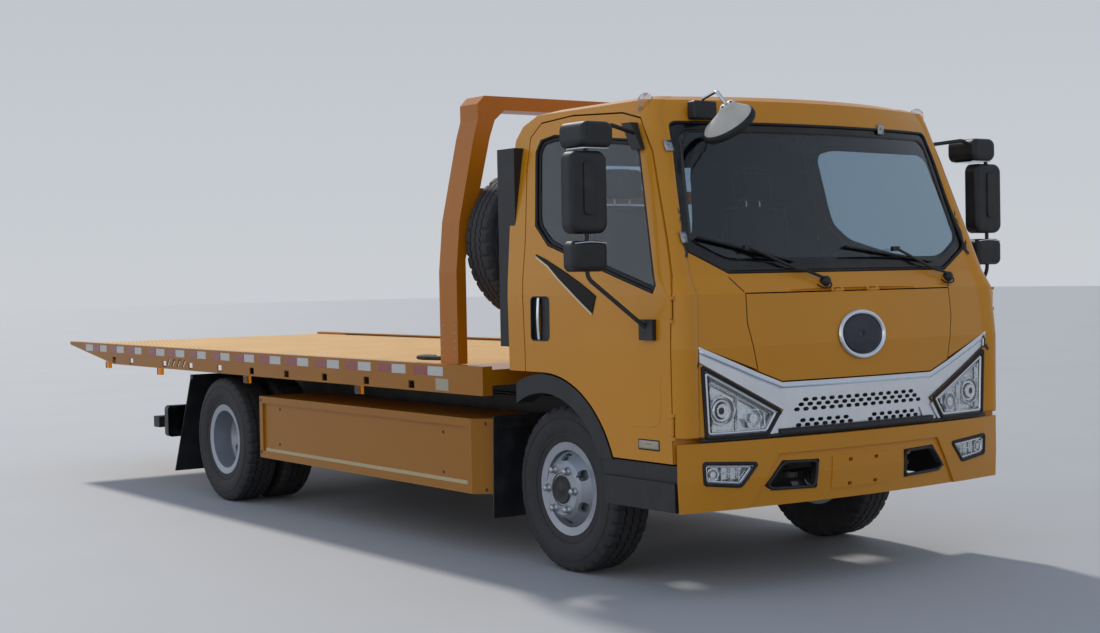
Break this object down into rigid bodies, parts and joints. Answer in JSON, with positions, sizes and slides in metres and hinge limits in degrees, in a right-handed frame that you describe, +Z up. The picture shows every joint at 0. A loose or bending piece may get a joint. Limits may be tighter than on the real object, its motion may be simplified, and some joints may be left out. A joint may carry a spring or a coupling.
{
  "type": "flatbed tow truck",
  "caption": "Two-axle forward-control tow truck with a tilting and sliding flat bed, headboard, winch, side lockers and a tilting cab.",
  "frame": {"origin": "on the ground under the middle of the overall length, on the centre plane", "axes": "+X forwards, +Y to the truck's left, +Z up"},
  "size_m": [7.7, 2.92, 2.47],
  "materials": {
    "body_paint": "gloss amber-yellow enamel",
    "chassis_paint": "satin black chassis paint",
    "tread_plate": "gloss paint on tread plate",
    "black_plastic": "grained black plastic",
    "chrome_band": "bright plated band",
    "wheel_steel": "silver wheel paint",
    "tyre_rubber": "matt",
    "cast_parts": "painted castings",
    "spring_steel": "dark spring leaves",
    "rod_chrome": "hard chrome rod",
    "glass": "tinted safety glass",
    "lamp_lens": "clear lamp cover",
    "amber_lens": "amber lens",
    "red_lens": "red lens",
    "seat_cloth": "dark woven cloth",
    "dash_plastic": "soft dark plastic",
    "tank_paint": "satin black"
  },
  "bodies": {
    "chassis": {"chassis_frame": "chassis_paint", "front_axle": "chassis_paint", "rear_axle": "chassis_paint", "leaf_springs": "spring_steel", "prop_shaft": "chassis_paint", "engine_block": "cast_parts", "tanks": "tank_paint", "side_boxes": "body_paint", "mudguards": "black_plastic", "tail_lamps": "red_lens"},
    "knuckle_right": {"knuckle_right": "chassis_paint"},
    "knuckle_left": {"knuckle_left": "chassis_paint"},
    "front_wheel_right": {"tyre_front_right": "tyre_rubber", "rim_front_right": "wheel_steel"},
    "front_wheel_left": {"tyre_front_left": "tyre_rubber", "rim_front_left": "wheel_steel"},
    "rear_wheels_right": {"tyres_rear_right": "tyre_rubber", "rims_rear_right": "wheel_steel"},
    "rear_wheels_left": {"tyres_rear_left": "tyre_rubber", "rims_rear_left": "wheel_steel"},
    "cab": {"cab_shell": "body_paint", "grille": "chrome_band", "front_lamps": "lamp_lens", "bumper": "body_paint", "arches_and_steps": "black_plastic", "cab_glass": "glass", "seats": "seat_cloth", "dashboard": "dash_plastic", "air_duct": "black_plastic", "front_mirror": "black_plastic", "roof_lamps": "lamp_lens"},
    "door_right": {"door_right": "body_paint", "door_glass_right": "glass", "mirrors_right": "black_plastic"},
    "door_left": {"door_left": "body_paint", "door_glass_left": "glass", "mirrors_left": "black_plastic"},
    "lid": {"front_lid": "body_paint"},
    "tilt_frame": {"tilt_frame": "chassis_paint", "slide_cylinder": "chassis_paint"},
    "rams": {"tilt_barrels": "chassis_paint"},
    "rods": {"tilt_rods": "rod_chrome"},
    "bed": {"bed_frame": "body_paint", "bed_deck": "tread_plate", "headboard": "body_paint", "spare_tyre": "tyre_rubber", "spare_rim": "wheel_steel", "winch_frame": "chassis_paint", "side_markers": "amber_lens", "slide_rod": "rod_chrome"},
    "winch": {"winch_drum": "cast_parts"}
  },
  "joints": [
    {"name": "steer_right", "type": "hinge", "parent": "chassis", "child": "knuckle_right", "pos_m": [2.72, -0.742, 0.418], "axis": [0, 0, 1], "range_deg": [-32, 32]},
    {"name": "steer_left", "type": "hinge", "parent": "chassis", "child": "knuckle_left", "pos_m": [2.72, 0.742, 0.418], "axis": [0, 0, 1], "range_deg": [-32, 32]},
    {"name": "wheel_front_right", "type": "hinge", "parent": "knuckle_right", "child": "front_wheel_right", "pos_m": [2.72, -0.856, 0.418], "axis": [0, 1, 0], "continuous": true},
    {"name": "wheel_front_left", "type": "hinge", "parent": "knuckle_left", "child": "front_wheel_left", "pos_m": [2.72, 0.856, 0.418], "axis": [0, 1, 0], "continuous": true},
    {"name": "wheels_rear_right", "type": "hinge", "parent": "chassis", "child": "rear_wheels_right", "pos_m": [-1.08, -0.8475, 0.418], "axis": [0, 1, 0], "continuous": true},
    {"name": "wheels_rear_left", "type": "hinge", "parent": "chassis", "child": "rear_wheels_left", "pos_m": [-1.08, 0.8475, 0.418], "axis": [0, 1, 0], "continuous": true},
    {"name": "cab_tilt", "type": "hinge", "parent": "chassis", "child": "cab", "pos_m": [3.65, 0, 0.588], "axis": [0, 1, 0], "range_deg": [0, 45]},
    {"name": "door_right_hinge", "type": "hinge", "parent": "cab", "child": "door_right", "pos_m": [3.713, -1.087, 1.2], "axis": [0, 0, 1], "range_deg": [0, 65]},
    {"name": "door_left_hinge", "type": "hinge", "parent": "cab", "child": "door_left", "pos_m": [3.713, 1.087, 1.2], "axis": [0, 0, -1], "range_deg": [0, 65]},
    {"name": "lid_hinge", "type": "hinge", "parent": "cab", "child": "lid", "pos_m": [3.799, 0, 1.398], "axis": [0, -1, 0], "range_deg": [0, 80]},
    {"name": "bed_tilt", "type": "hinge", "parent": "chassis", "child": "tilt_frame", "pos_m": [-2.18, 0, 0.802], "axis": [0, -1, 0], "range_deg": [0, 13]},
    {"name": "bed_slide", "type": "slide", "parent": "tilt_frame", "child": "bed", "axis": [-1, 0, 0], "range_m": [0, 2.6]},
    {"name": "ram_swing", "type": "hinge", "parent": "chassis", "child": "rams", "pos_m": [-0.48, 0, 0.61], "axis": [0, -1, 0], "range_deg": [0, 30]},
    {"name": "rod_slide", "type": "slide", "parent": "rams", "child": "rods", "axis": [0.9613, 0, 0.2756], "range_m": [0, 0.24]},
    {"name": "winch_spin", "type": "hinge", "parent": "bed", "child": "winch", "pos_m": [2.1, 0, 1.15], "axis": [0, 1, 0], "continuous": true}
  ],
  "couplings": [
    {"joint": "steer_left", "follows": "steer_right", "ratio": 1},
    {"joint": "ram_swing", "follows": "bed_tilt", "ratio": 2.2913},
    {"joint": "rod_slide", "follows": "bed_tilt", "m_per_rad": 1.0465}
  ]
}
